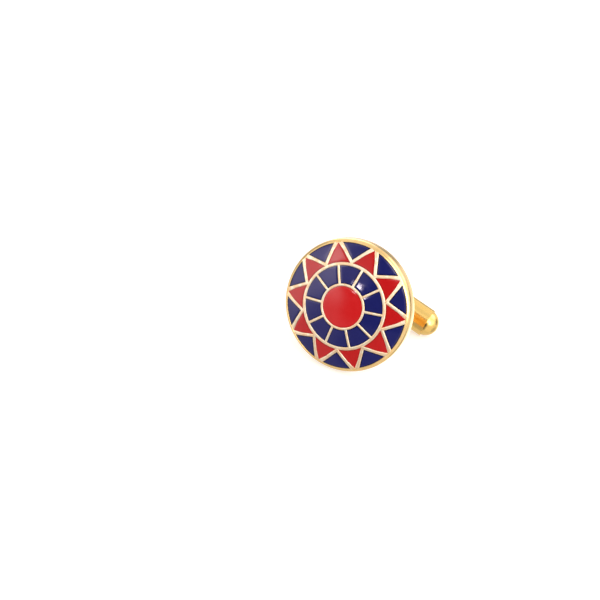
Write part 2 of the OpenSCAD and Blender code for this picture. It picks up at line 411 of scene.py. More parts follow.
@dataclass(frozen=True)
class Face:
    """Sizes of the head and its pattern, in millimetres and degrees, as in the part's source."""

    head_r: float = 9.0
    dome_r: float = 21.9
    band_w: float = 0.48
    band_edge_r: float = 0.8
    side_h: float = 1.24
    back_edge_r: float = 0.25
    lip_w: float = 0.5
    cell_depth: float = 0.45
    floor_t: float = 0.37
    dish_rise: float = 0.6
    seat_r: float = 4.0
    rays: int = 10
    pattern_turn: float = 2.6
    centre_share: float = 0.332
    ring_share: float = 0.65
    centre_wire_w: float = 0.3
    ring_wire_w: float = 0.4
    spoke_w: float = 0.3
    zigzag_w: float = 0.4
    turn_gap: float = 0.12
    apex_over: float = 0.82

    @property
    def lip_middle(self) -> float:
        """Radius of the middle of the back lip's flat."""
        return self.head_r - (self.lip_w + self.back_edge_r) / 2

    @property
    def enamel_r(self) -> float:
        """Radius of the enamelled face."""
        return self.head_r - self.band_w

    @property
    def edge_z(self) -> float:
        """Height of the dome's edge over the back lip."""
        inside = self.band_edge_r - self.band_w
        return self.side_h + math.sqrt(self.band_edge_r ** 2 - inside ** 2)

    @property
    def dome_z(self) -> float:
        """Height of the middle of the dome's sphere."""
        return self.edge_z - math.sqrt(self.dome_r ** 2 - self.enamel_r ** 2)

    @property
    def dish_edge_h(self) -> float:
        """Depth of the dish at its edge."""
        return self.edge_z - self.cell_depth - self.floor_t

    @property
    def dish_h(self) -> float:
        """Depth of the dish at its flat middle."""
        return self.dish_edge_h + self.dish_rise

    @property
    def pitch(self) -> float:
        """Angle from one ray to the next."""
        return 360 / self.rays

    @property
    def centre_r(self) -> float:
        """Radius of the red centre."""
        return self.centre_share * self.enamel_r

    @property
    def ring_r(self) -> float:
        """Outer radius of the inner fields."""
        return self.ring_share * self.enamel_r

    @property
    def turn_in(self) -> Pair:
        """Inner turn of the zigzag beside the ray along x."""
        radius, half = self.ring_r + self.ring_wire_w + self.turn_gap, math.radians(self.pitch / 2)
        return radius * math.cos(half), radius * math.sin(half)

    @property
    def apex(self) -> float:
        """Where the zigzag's sides would meet, outside the enamel."""
        return self.enamel_r + self.apex_over

    def height(self, radius: float, below: float = 0.0) -> float:
        """Height of the dome, or of a shell below it, at a radius.

        Args:
            radius: Distance from the head's axis.
            below: Depth of the shell below the dome.

        Returns:
            The height over the back lip.
        """
        return self.dome_z + math.sqrt((self.dome_r - below) ** 2 - radius ** 2)

    def direction(self, index: float) -> float:
        """Angle of a ray, or with a half added of a field between two, in degrees."""
        return 90 + self.pattern_turn + index * self.pitch


@dataclass(frozen=True)
class Fork:
    """Sizes of the post and the bar, in millimetres, as in the part's source."""

    reach: float = 13.0
    post_w: float = 2.8
    leg_t: float = 0.85
    tip_l: float = 2.1
    post_off: float = -0.37
    bead_t: float = 0.7
    bead_out: float = 0.12
    bar_d: float = 4.0
    bar_l: float = 17.7
    tube_wall: float = 0.5
    lip_edge_r: float = 0.25
    plug_h: float = 1.7
    plug_step: float = 0.17
    shank_l: float = 1.2
    rivet_d: float = 1.3
    rivet_proud: float = 0.04
    pivot_clear: float = 0.05
    side_clear: float = 0.1
    slot_clear: float = 0.2

    @property
    def slot_w(self) -> float:
        """Width of the slot in the fork."""
        return self.bar_d + 2 * self.side_clear

    @property
    def post_r(self) -> float:
        """Radius of the post's round ends."""
        return self.post_w / 2

    @property
    def end_y(self) -> float:
        """Middle of a round end, along the rivet."""
        return self.slot_w / 2 + self.leg_t - self.post_r

    @property
    def tube_l(self) -> float:
        """Length of the bar's tube."""
        return self.bar_l - 2 * self.plug_h

    @property
    def slot_turn_z(self) -> float:
        """Middle of the slot's half-round end."""
        return self.tube_l / 2 - self.lip_edge_r + self.slot_clear - self.reach

    @property
    def tip_z(self) -> float:
        """Where the legs end."""
        return -self.reach - self.tip_l


def fit_piece(piece: Piece, place: Matrix, material: bpy.types.Material | None,
              node: str, body: str) -> Piece:
    """Puts a modelled piece in place of its solid.

    Args:
        piece: The piece, in local millimetres.
        place: The transform to the row frame.
        material: Its finish, or None where its faces have theirs.
        node: The solid that it replaces.
        body: The body that it rides on.

    Returns:
        The piece.
    """
    if material:
        piece.data.materials.append(material)
    Bench.settle(piece, place)
    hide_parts(node)
    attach(piece, body)
    return piece


# ---------------------------------------------------------------- the head

@dataclass
class GiltHead:
    """The head in one piece: band, wall, lip, dished back, and the wires between the cells."""

    face: Face
    skin: float = 0.006
    wall_foot: Pair = (0.02, 0.1)
    band_sink: float = 0.03
    lip_round: float = 0.12
    dish_fillet: float = 1.05
    edge_round: float = 0.17
    swell: float = 0.08
    wire_root: float = 0.1
    wire_reach: float = 0.07
    wire_spare: float = 0.3
    wire_trim: float = 0.02
    turn_overlap: float = 0.42
    tip_web: float = 0.236
    tip_run: float = 1.46
    tip_over: float = 0.3
    tip_slab: float = 0.1
    margin: float = 0.01

    def outline(self) -> list[Pair]:
        """The head's section without its wires.

        Returns:
            Radius and height of each point, from the middle of the cells' floor round the band and
            the lip to the middle of the dish.
        """
        f, skin = self.face, self.skin
        floor = f.dome_r - f.cell_depth
        last = math.degrees(math.acos(f.enamel_r / floor))
        points = arc((0, f.dome_z), floor, 90, last, 24)
        points += [(f.enamel_r - self.wall_foot[0], f.edge_z - self.wall_foot[1]),
                   (f.enamel_r, f.edge_z - self.band_sink)]
        inside = f.band_edge_r - f.band_w + self.band_sink
        start = math.degrees(math.acos(inside / f.band_edge_r))
        points += arc((f.head_r - f.band_edge_r - skin, f.side_h), f.band_edge_r, start, 0, 14)
        back_edge = (f.head_r - f.back_edge_r - skin, f.back_edge_r + skin)
        points += arc(back_edge, f.back_edge_r, 0, -90, 6)
        dish_r, lip = f.head_r - f.lip_w, self.lip_round
        points += arc((dish_r + lip, lip + skin), lip, -90, -180, 4)
        run, rise = dish_r - f.seat_r, f.dish_rise
        floor_r = (run ** 2 + rise ** 2) / (2 * rise)
        middle = (f.seat_r, f.dish_h - floor_r)
        reach = floor_r - self.dish_fillet
        fillet_x = dish_r - self.dish_fillet
        fillet_z = middle[1] + math.sqrt(reach ** 2 - (fillet_x - middle[0]) ** 2)
        turn = math.degrees(math.atan2(fillet_z - middle[1], fillet_x - middle[0]))
        points += arc((fillet_x, fillet_z), self.dish_fillet, 0, turn, 12)
        points += arc(middle, floor_r, turn, 90, 14)[1:]
        return points + [(f.seat_r / 2, f.dish_h), (0.0, f.dish_h)]

    def section(self, width: float) -> list[Pair]:
        """A wire's section, with softly rounded top edges.

        Args:
            width: The wire's width.

        Returns:
            Distance to the side and height over the dome of each point.
        """
        half, r = (width + self.swell) / 2, self.edge_round
        low = -self.face.cell_depth - self.wire_root
        right = arc((half - r, -r), r, 0, 90, 4)
        left = arc((-half + r, -r), r, 90, 180, 4)
        return [(-half, low), (half, low), *right, *left]

    def ring(self, name: str, radius: float, width: float) -> Piece:
        """A ring wire.

        Args:
            name: The wire's name.
            radius: Radius of its middle.
            width: Its width.

        Returns:
            The wire.
        """
        f = self.face
        up = Vector((radius, 0, f.height(radius) - f.dome_z)).normalized()
        side = Vector((up.z, 0, -up.x))
        base = Vector((radius, 0, f.height(radius)))
        points = [base + side * s + up * h for s, h in self.section(width)]
        return Bench.close(Bench.revolve(Bench.trace(name, points, closed=True), 200))

    def wire(self, name: str, start: Pair, end: Pair, width: float, steps: int) -> Piece:
        """A straight wire that follows the dome, turned about the dome's middle.

        Args:
            name: The wire's name.
            start: Where it starts, seen from the front.
            end: Where it ends.
            width: Its width.
            steps: How many steps it takes.

        Returns:
            The wire.
        """
        f = self.face
        centre = Vector((0, 0, f.dome_z))
        a, b = Vector((*start, 0)), Vector((*end, 0))
        axis = Vector((0, 0, 1)).cross(b - a).normalized()
        lift = [math.sqrt(f.dome_r ** 2 - p.length_squared) for p in (a, b)]
        along = (b - a).normalized()
        turn = math.atan2(b.dot(along), lift[1]) - math.atan2(a.dot(along), lift[0])
        base = Vector((a.x, a.y, f.height(a.length)))
        up = (base - centre).normalized()
        side = (axis - axis.dot(up) * up).normalized()
        points = [base + side * s + up * h for s, h in self.section(width)]
        piece = Bench.trace(name, points, closed=True)
        return Bench.close(Bench.revolve(piece, steps, turn, tuple(centre), tuple(axis)))

    def fill_tip(self, wire: Piece, start: Vector, end: Vector) -> Piece:
        """Widens a side of the zigzag towards the ray's tip, so that the ray ends in a point.

        Args:
            wire: The wire.
            start: Where it starts, seen from the front.
            end: Where it ends.

        Returns:
            The wire.
        """
        run = (end - start).normalized()
        across = Vector((run.y, -run.x)) * (1 if start.y > 0 else -1)
        first, slab = (end - start).length - self.tip_run, self.tip_slab
        with Bench.editing(wire) as mesh:
            for i in range(int((self.tip_run + self.tip_over) / slab)):
                low = first + slab * i
                Bench.pick(mesh, lambda p: low <= (p.xy - start).dot(run) < low + slab
                           and (p.xy - start).dot(across) > 2 * self.margin)
                if any(v.select for v in mesh.verts):
                    share = min(1.0, (i + 0.5) * slab / self.tip_run)
                    move = across * share * self.tip_web
                    bpy.ops.transform.translate(value=(move.x, move.y, 0))
        return wire

    def zigzag_sides(self) -> list[Piece]:
        """The zigzag's two sides at one ray, cut off just under the band.

        Returns:
            The two wires, about the x axis.
        """
        f = self.face
        x, y = f.turn_in
        run = Vector((f.apex - x, -y)).normalized()
        end = Vector((f.apex, 0))
        while end.length > f.enamel_r + self.wire_spare:
            end -= run * self.wire_trim
        start = Vector((x, y)) - run * f.zigzag_w * self.turn_overlap
        sides = []
        for side in (1, -1):
            ends = Vector((start.x, start.y * side)), Vector((end.x, end.y * side))
            wire = self.wire("zigzag", tuple(ends[0]), tuple(ends[1]), f.zigzag_w, 12)
            self.fill_tip(wire, *ends)
            Bench.slice(wire, (f.enamel_r + self.wire_reach, 0, 0), (1, 0, 0), fill=True)
            sides.append(wire)
        return sides

    def wires(self) -> list[Piece]:
        """The wires of the whole pattern.

        Returns:
            Two ring wires, the spokes and the zigzag's sides.
        """
        f = self.face
        centre, ring = f.centre_r + f.centre_wire_w / 2, f.ring_r + f.ring_wire_w / 2
        made = [self.ring("centre_wire", centre, f.centre_wire_w),
                self.ring("ring_wire", ring, f.ring_wire_w)]
        spoke = self.wire("spoke", (centre, 0), (ring, 0), f.spoke_w, 10)
        for pattern in (spoke, *self.zigzag_sides()):
            for i in range(f.rays):
                made.append(Bench.copy_turned(pattern, f"{pattern.name}_{i}", f.direction(i)))
            bpy.data.objects.remove(pattern)
        return made

    def build(self, place: Matrix, finishes: "Finishes") -> Piece:
        """Models the head and dresses it.

        Args:
            place: The transform to the row frame.
            finishes: The finishes.

        Returns:
            The head.
        """
        f = self.face
        shell = Bench.trace("head_shell", [(r, 0.0, z) for r, z in self.outline()])
        shell = Bench.close(Bench.revolve(shell, 240))
        for material in (finishes.polished, finishes.satin):
            shell.data.materials.append(material)
        with Bench.editing(shell) as mesh:
            edge, high = f.head_r - f.lip_w + self.margin, f.dish_h + 2 * self.margin
            Bench.pick(mesh, lambda p: p.xy.length < edge and self.lip_round < p.z < high, "FACE")
            shell.active_material_index = 1
            bpy.ops.object.material_slot_assign()
        wires = Bench.merge(self.wires(), "face_wires")
        wires.data.materials.append(finishes.wire)
        head = Bench.merge([shell, wires], "gilt_head")
        return fit_piece(head, place, None, "face_plate", "head")


@dataclass
class EnamelStar:
    """The fired fields. Each fills its cell from wire to wire, just under the dome."""

    face: Face
    under_wire: float = 0.05
    sink: float = 0.08
    weld: float = 0.004
    depth: float = 0.36
    steps: int = 12

    def sheet(self, name: str, inner: float, outer: float) -> Piece:
        """A slice of a ring on the dome, as wide as one ray's share of the turn.

        Args:
            name: The piece's name.
            inner: Inner radius.
            outer: Outer radius.

        Returns:
            The open sheet, about the x axis.
        """
        f, a = self.face, math.radians(-self.face.pitch / 2)
        radii = [inner + (outer - inner) * i / self.steps for i in range(self.steps + 1)]
        points = [(r * math.cos(a), r * math.sin(a), f.height(r, self.sink)) for r in radii]
        return Bench.revolve(Bench.trace(name, points), 16, math.radians(f.pitch))

    def outer_sheet(self, name: str) -> Piece:
        """The sheet that a ray or a field outside the zigzag is cut from."""
        f, g = self.face, self.under_wire
        return self.sheet(name, f.ring_r + f.ring_wire_w - g, f.enamel_r + g / 2)

    def fired(self, piece: Piece) -> Piece:
        """Gives a sheet its thickness.

        Args:
            piece: The open sheet.

        Returns:
            The closed field.
        """
        with Bench.editing(piece):
            bpy.ops.mesh.remove_doubles(threshold=self.weld)
            Bench.pick_open_edges()
            bpy.ops.mesh.extrude_region_move(TRANSFORM_OT_translate={"value": (0, 0, -self.depth)})
        return Bench.close(piece)

    def inner(self) -> Piece:
        """One field between two spokes.

        Returns:
            The field, about the x axis.
        """
        f, g = self.face, self.under_wire
        piece = self.sheet("inner", f.centre_r + f.centre_wire_w - g, f.ring_r + g)
        for side in (1, -1):
            a = math.radians(side * f.pitch / 2)
            normal = Vector((-math.sin(a) * side, math.cos(a) * side, 0))
            Bench.slice(piece, -normal * (f.spoke_w / 2 - g), normal)
        return self.fired(piece)

    def zigzag_side(self, side: int) -> tuple[Vector, Vector]:
        """The middle line of one side of the zigzag.

        Args:
            side: 1 for the side on the positive side of the x axis, or -1.

        Returns:
            A point of the line, and its normal away from the ray.
        """
        x, y = self.face.turn_in
        run = Vector((self.face.apex - x, -y * side, 0)).normalized()
        return Vector((self.face.apex, 0, 0)), Vector((-run.y, run.x, 0)) * side

    def ray(self) -> Piece:
        """One ray.

        Returns:
            The ray, about the x axis.
        """
        piece, inset = self.outer_sheet("ray"), self.face.zigzag_w / 2 - self.under_wire
        for side in (1, -1):
            point, normal = self.zigzag_side(side)
            Bench.slice(piece, point - normal * inset, normal)
        return self.fired(piece)

    def border(self) -> Piece:
        """One field outside the zigzag.

        Returns:
            The field, about the x axis.
        """
        piece, inset = self.outer_sheet("border"), self.face.zigzag_w / 2 - self.under_wire
        for side in (1, -1):
            point, normal = self.zigzag_side(side)
            turn = Matrix.Rotation(-side * math.radians(self.face.pitch / 2), 3, "Z")
            Bench.slice(piece, turn @ (point + normal * inset), turn @ -normal)
        return self.fired(piece)

    def centre(self) -> Piece:
        """The red centre.

        Returns:
            The disc.
        """
        f, outer = self.face, self.face.centre_r + self.under_wire
        radii = [outer * i / self.steps for i in range(self.steps + 1)]
        points = [(r, 0.0, f.height(r, self.sink)) for r in radii]
        low = f.height(outer) - self.depth
        points += [(outer, 0.0, low), (0.0, 0.0, low)]
        return Bench.close(Bench.revolve(Bench.trace("centre", points), 120))

    def build(self, place: Matrix, finishes: "Finishes") -> list[Piece]:
        """Models every field and dresses it.

        Args:
            place: The transform to the row frame.
            finishes: The finishes.

        Returns:
            The fields.
        """
        f = self.face
        plans = [("inner_enamel", self.inner(), 0.5, finishes.navy, "navy_enamel"),
                 ("ray_enamel", self.ray(), 0.0, finishes.red, "red_enamel"),
                 ("border_enamel", self.border(), 0.5, finishes.navy, "navy_enamel")]
        jobs = [("fired_centre", "centre_enamel", self.centre(), finishes.centre_red, "red_enamel")]
        for label, pattern, offset, material, slot in plans:
            for i in range(f.rays):
                name = f"fired_{label}_{i + 1}"
                piece = Bench.copy_turned(pattern, name, f.direction(i + offset))
                jobs.append((name, f"{label}_{i + 1}", piece, material, slot))
            bpy.data.objects.remove(pattern)
        made = []
        for name, node, piece, material, slot in jobs:
            piece.name = piece.data.name = name
            made.append(fit_piece(piece, place, material, node, "head"))
        return made


# ---------------------------------------------------------------- the post and the bar

@dataclass(frozen=True)
class Bead:
    """A lump or a speck of solder: its place on the seat, and its height or its radius."""

    x: float
    y: float
    size: float


@dataclass
class ForkedPost:
    """The post with its rivet and the solder round its foot."""

    fork: Fork
    seat_z: float
    edge: float = 0.09
    skin: float = 0.003
    outline_gap: float = 0.025
    cutter_x: float = 3.0
    cutter_y: float = 4.0
    cutter_over: float = 1.0
    rivet_edge: float = 0.05
    square_half: float = 0.44
    corner_half: float = 0.28
    square_gap: float = 0.02
    bead_root: float = 0.05
    lump_reach: float = 0.3
    lump_fade: float = 0.45
    speck_root: float = 0.03
    lumps: tuple[Bead, ...] = (
        Bead(1.5, 1.9, 0.05), Bead(-1.2, 2.5, -0.05), Bead(1.75, -0.6, 0.06),
        Bead(-1.7, -1.9, 0.05), Bead(0.2, -3.1, 0.05))
    specks: tuple[Bead, ...] = (
        Bead(1.9, 1.6, 0.13), Bead(2.15, 0.9, 0.08), Bead(-1.9, -1.3, 0.1),
        Bead(1.3, -2.9, 0.12), Bead(2.3, -0.4, 0.07))

    def stadium(self, name: str, grow: float, low: float, high: float) -> Piece:
        """A block with two half-round sides.

        Args:
            name: The block's name.
            grow: How much wider it is than the post, all round.
            low: Its lower end.
            high: Its upper end.

        Returns:
            The block.
        """
        k, r = self.fork, self.fork.post_r + grow
        plan = arc((0, k.end_y), r, 0, 180, 32) + arc((0, -k.end_y), r, 180, 360, 32)
        outline = Bench.trace(name, [(x, y, low) for x, y in plan], closed=True)
        return Bench.push(outline, (0, 0, high - low))

    def pin(self, name: str, radius: float, half: float) -> Piece:
        """A round pin along the rivet's axis.

        Args:
            name: The pin's name.
            radius: Its radius.
            half: Half of its length.

        Returns:
            The pin.
        """
        z = -self.fork.reach
        points = [(0, -half, z), (radius, -half, z), (radius, half, z), (0, half, z)]
        outline = Bench.trace(name, points)
        return Bench.close(Bench.revolve(outline, 64, centre=(0, 0, z), axis=(0, 1, 0)))

    def post(self) -> Piece:
        """The post: a flat-sided blank with round-ended legs, a slot and the rivet's hole.

        Returns:
            The post.
        """
        k, wide, deep = self.fork, self.cutter_x, self.cutter_y
        post = self.stadium("forked_post", 0.0, k.tip_z - self.cutter_over, self.seat_z)
        side = [(k.post_r, wide), (-k.post_r, wide)]
        side += arc((0, k.tip_z + k.post_r), k.post_r - self.skin, 180, 360, 40)
        tips = Bench.trace("tips", [(x, -deep, z) for x, z in side], closed=True)
        Bench.combine(post, Bench.push(tips, (0, 2 * deep, 0)), Join.KEEP_COMMON)
        half, below = k.slot_w / 2, k.tip_z - 2 * self.cutter_over
        gap = [(half, below), *arc((0, k.slot_turn_z), half, 0, 180, 40), (-half, below)]
        slot = Bench.trace("slot", [(-wide, y, z) for y, z in gap], closed=True)
        Bench.combine(post, Bench.push(slot, (2 * wide, 0, 0)), Join.CUT)
        Bench.combine(post, self.pin("hole", k.rivet_d / 2 + self.outline_gap, deep), Join.CUT)
        Bench.soften(post, self.edge)
        return post

    def rivet(self) -> Piece:
        """The rivet: ends closed flush with the rounded legs, and a squared middle.

        Returns:
            The rivet.
        """
        k, over = self.fork, self.cutter_over
        rivet = self.pin("rivet", k.rivet_d / 2, self.cutter_y)
        cover = self.stadium("cover", k.rivet_proud, -k.reach - over, -k.reach + over)
        Bench.combine(rivet, cover, Join.KEEP_COMMON)
        half = k.bar_d / 2 - k.tube_wall - self.square_gap
        Bench.combine(rivet, self.pin("ring", k.rivet_d, half), Join.CUT)
        Bench.soften(rivet, self.rivet_edge)
        h, c = self.square_half, self.corner_half
        corners = ((h, c), (c, h), (-c, h), (-h, c), (-h, -c), (-c, -h), (c, -h), (h, -c))
        square = Bench.trace("square", [(x, -half, z - k.reach) for x, z in corners], closed=True)
        return Bench.merge([rivet, Bench.push(square, (0, 2 * half, 0))], "rivet")

    def solder(self) -> Piece:
        """The bead of solder: a round fillet along the foot, lumpy, with a few specks beside it.

        Returns:
            The solder.
        """
        k, z, radius = self.fork, self.seat_z, self.fork.bead_t / 2
        inner = -math.degrees(math.acos(-k.bead_out / radius))
        rim = arc((k.post_r + k.bead_out, z), radius, 0, inner, 12)
        rim += [(k.post_r - self.bead_root, z)]
        bead = Bench.trace("solder", [(r, k.end_y, h) for r, h in rim], closed=True)
        with Bench.editing(bead):
            for end in (k.end_y, -k.end_y):
                bpy.ops.mesh.spin(steps=32, angle=math.pi, center=(0, end, 0), axis=(0, 0, -1))
                step = (0, -2 * end / 12, 0)
                for _ in range(12):
                    bpy.ops.mesh.extrude_region_move(TRANSFORM_OT_translate={"value": step})
        Bench.weld(bead)
        with Bench.editing(bead) as mesh:
            for lump in self.lumps:
                x, y, size = lump.x, lump.y, lump.size
                Bench.pick(mesh, lambda p: (p.xy - Vector((x, y))).length < self.lump_reach
                           and p.z < z - self.bead_root)
                bpy.ops.transform.translate(value=(size * x / 2, size * y / 2, -size),
                                            use_proportional_edit=True,
                                            proportional_size=self.lump_fade)
        return Bench.merge([bead, *(self.drop(speck) for speck in self.specks)], "solder")

    def drop(self, speck: Bead) -> Piece:
        """A flattened speck of solder on the seat.

        Args:
            speck: Its place and radius.

        Returns:
            The speck.
        """
        x, y, size, high = speck.x, speck.y, speck.size, self.seat_z + self.speck_root
        dome = [(0.0, 1.0), *arc((0, 0), 1, 80, 0, 6)]
        points = [(x + size * c, y, self.seat_z - size * 0.5 * s) for c, s in dome]
        points += [(x + size, y, high), (x, y, high)]
        return Bench.close(Bench.revolve(Bench.trace("drop", points), 16, centre=(x, y, 0)))

    def build(self, place: Matrix, finishes: "Finishes") -> list[Piece]:
        """Models the three pieces and dresses them.

        Args:
            place: The transform to the row frame.
            finishes: The finishes.

        Returns:
            The pieces.
        """
        jobs = ((self.post(), "fork_post", finishes.fittings, "gilt_fittings"),
                (self.rivet(), "pivot_rivet", finishes.fittings, "gilt_fittings"),
                (self.solder(), "solder_bead", finishes.solder, "gilt_solder"))
        return [fit_piece(piece, place, material, node, "head")
                for piece, node, material, slot in jobs]


@dataclass(frozen=True)
class Mark:
    """A mark of the closing tool: its angle about the bar, its depth, its lean or half width."""

    turn: float
    depth: float
    lean: float = 0.0
    half: float = 0.0


@dataclass
class SwivelBar:
    """The bar: a tube with rolled lips and a domed plug in each end."""

    fork: Fork
    seam_out: float = 0.22
    seam_skew: float = 0.1
    seam_gap: float = 0.05
    crimp_lean: float = 42.0
    crimps: tuple[Mark, ...] = (Mark(8, 0.05), Mark(50, 0.05), Mark(156, 0.1),
                                Mark(229, 0.14), Mark(285, 0.06), Mark(335, 0.1))
    slits: tuple[Mark, ...] = (Mark(74, 0.42, half=1.5), Mark(42, 0.4, half=1.2),
                               Mark(118, 0.4, half=1.2), Mark(262, 0.45, half=9))
    slit_start: float = 2.3
    slit_corners: tuple[Pair, ...] = ((-0.15, -1.0), (0.3, -1.3), (0.3, 1.3), (-0.02, 0.4))
    dents: tuple[Mark, ...] = (Mark(250, 0.02, lean=12), Mark(205, 0.012, lean=30))
    rest_aim: Pair = (201.07, 12.49)
    skin: float = 0.003
    lip_edge: float = 0.08
    dome_start: float = 0.05
    shank_gap: float = 0.02
    shoulder: tuple[Pair, ...] = ((0.0, 0.05), (0.015, 0.02))
    hole_half: float = 3.0

    def about_bar(self, name: str, outline: Sequence[Pair], steps: int = 96) -> Piece:
        """Turns an outline about the bar's axis.

        Args:
            name: The piece's name.
            outline: Place along the bar and radius of each point.
            steps: How many steps the turn takes.

        Returns:
            The closed piece.
        """
        z = -self.fork.reach
        points = [(x, 0, z + r) for x, r in outline]
        piece = Bench.trace(name, points, closed=outline[0][1] > 0)
        return Bench.close(Bench.revolve(piece, steps, centre=(0, 0, z), axis=(1, 0, 0)))

    def on_axis(self, x: float) -> Vector:
        """A point of the bar's axis, from its place along the bar."""
        return Vector((x, 0, -self.fork.reach))

    def aim(self, turn: float, lean: float = 0.0) -> Vector:
        """A direction out from the bar's axis, leaning towards its right end."""
        t, a = math.radians(turn), math.radians(lean)
        return Vector((math.sin(a), math.cos(a) * math.cos(t), math.cos(a) * math.sin(t)))

    def seam(self, turn: float) -> float:
        """How far along the bar its right lip reaches, at an angle about the bar."""
        skew = self.seam_skew * self.fork.bar_d / 2 * math.sin(math.radians(turn))
        return self.fork.tube_l / 2 + self.seam_out + skew

    def dome(self) -> Triple:
        """The dome of the right plug.

        Returns:
            Its radius, its middle's place along the bar, and the angle at which it starts.
        """
        k = self.fork
        end, r = k.tube_l / 2, k.bar_d / 2 - k.plug_step
        ball = (r * r + k.plug_h ** 2) / (2 * k.plug_h)
        middle = end + k.plug_h - ball
        return ball, middle, math.degrees(math.acos((end + self.dome_start - middle) / ball))

    def barrel(self) -> Piece:
        """The tube before it is closed at its right end: that end is left long.

        Returns:
            The plain tube.
        """
        k, lip = self.fork, self.fork.lip_edge_r
        end, r, bore = k.tube_l / 2, k.bar_d / 2, k.bar_d / 2 - k.tube_wall
        far = end + 2 * self.seam_out
        outline = [(-end, bore), *arc((-end + lip, r - lip), lip, 180, 90, 8)]
        outline += [(-end + (far + end) * i / 8, r) for i in range(1, 9)] + [(far, bore)]
        return self.about_bar("bar_barrel", outline)

    def crimp(self, tube: Piece) -> None:
        """Cuts the right lip along its skewed seam, with its crimps and the flat that it rests on.

        Args:
            tube: The tube.
        """
        k, lip = self.fork, self.fork.lip_edge_r
        end, r = k.tube_l / 2, k.bar_d / 2
        seam = self.on_axis(end + self.seam_out)
        Bench.slice(tube, seam, (1, 0, -self.seam_skew), fill=True)
        for mark in self.crimps:
            edge = self.on_axis(self.seam(mark.turn) - mark.depth) + self.aim(mark.turn) * r
            Bench.slice(tube, edge, self.aim(mark.turn, self.crimp_lean), fill=True)
        down = self.aim(*self.rest_aim)
        rest = down.x * (end - lip) + (r - lip) * math.hypot(down.y, down.z) + lip - self.skin
        Bench.slice(tube, self.on_axis(0) + down * rest, down, fill=True)
        Bench.soften(tube, self.lip_edge, segments=2, angle=50)

    def slit(self, tube: Piece) -> None:
        """Cuts the fine slits where the lip was folded.

        Args:
            tube: The tube.
        """
        for mark in self.slits:
            points = [self.on_axis(self.seam(mark.turn) + x)
                      + self.aim(mark.turn + mark.half * share) * self.slit_start
                      for x, share in self.slit_corners]
            cut = Bench.trace("slit", points, closed=True)
            Bench.combine(tube, Bench.push(cut, -self.aim(mark.turn) * mark.depth), Join.CUT)

    def tube(self) -> Piece:
        """The tube, with its right lip crimped over the plug.

        Returns:
            The tube.
        """
        k, tube = self.fork, self.barrel()
        self.crimp(tube)
        self.slit(tube)
        ball, middle, start = self.dome()
        foot = (k.tube_l / 2 - self.dome_start, 0.0)
        gap = [foot, *arc((middle, 0), ball + self.seam_gap, start, 0, 24)]
        Bench.combine(tube, self.about_bar("seam_gap", gap), Join.CUT)
        Bench.weld(tube)
        hole = ForkedPost(k, 0.0).pin("hole", k.rivet_d / 2 + k.pivot_clear, self.hole_half)
        return Bench.combine(tube, hole, Join.CUT)

    def plug(self, name: str, dents: Sequence[Mark] = ()) -> Piece:
        """A plug: a shank in the tube and a dome with a small shoulder.

        Args:
            name: The plug's name.
            dents: Flats that the closing tool left on its dome.

        Returns:
            The plug, at the bar's right end.
        """
        k, gap = self.fork, self.shank_gap
        end, bore, r = k.tube_l / 2, k.bar_d / 2 - k.tube_wall, k.bar_d / 2 - k.plug_step
        ball, middle, start = self.dome()
        outline = [(end - k.shank_l, 0), (end - k.shank_l, bore - gap), (end, bore - gap)]
        outline += [(end + out, r - down) for out, down in self.shoulder]
        plug = self.about_bar(name, outline + arc((middle, 0), ball, start, 0, 20), 80)
        for mark in dents:
            out = self.aim(mark.turn, mark.lean)
            Bench.slice(plug, self.on_axis(middle) + out * (ball - mark.depth), out, fill=True)
        return plug

    def build(self, place: Matrix, finishes: "Finishes") -> list[Piece]:
        """Models the three pieces and dresses them.

        Args:
            place: The transform to the row frame.
            finishes: The finishes.

        Returns:
            The pieces.
        """
        pattern = self.plug("plug")
        left = Bench.copy_turned(pattern, "plug_left", 180)
        bpy.data.objects.remove(pattern)
        jobs = ((self.tube(), "bar_tube"), (left, "end_plug_left"),
                (self.plug("plug_right", self.dents), "end_plug_right"))
        return [fit_piece(piece, place, finishes.fittings, node, "toggle")
                for piece, node in jobs]


# ---------------------------------------------------------------- shader building

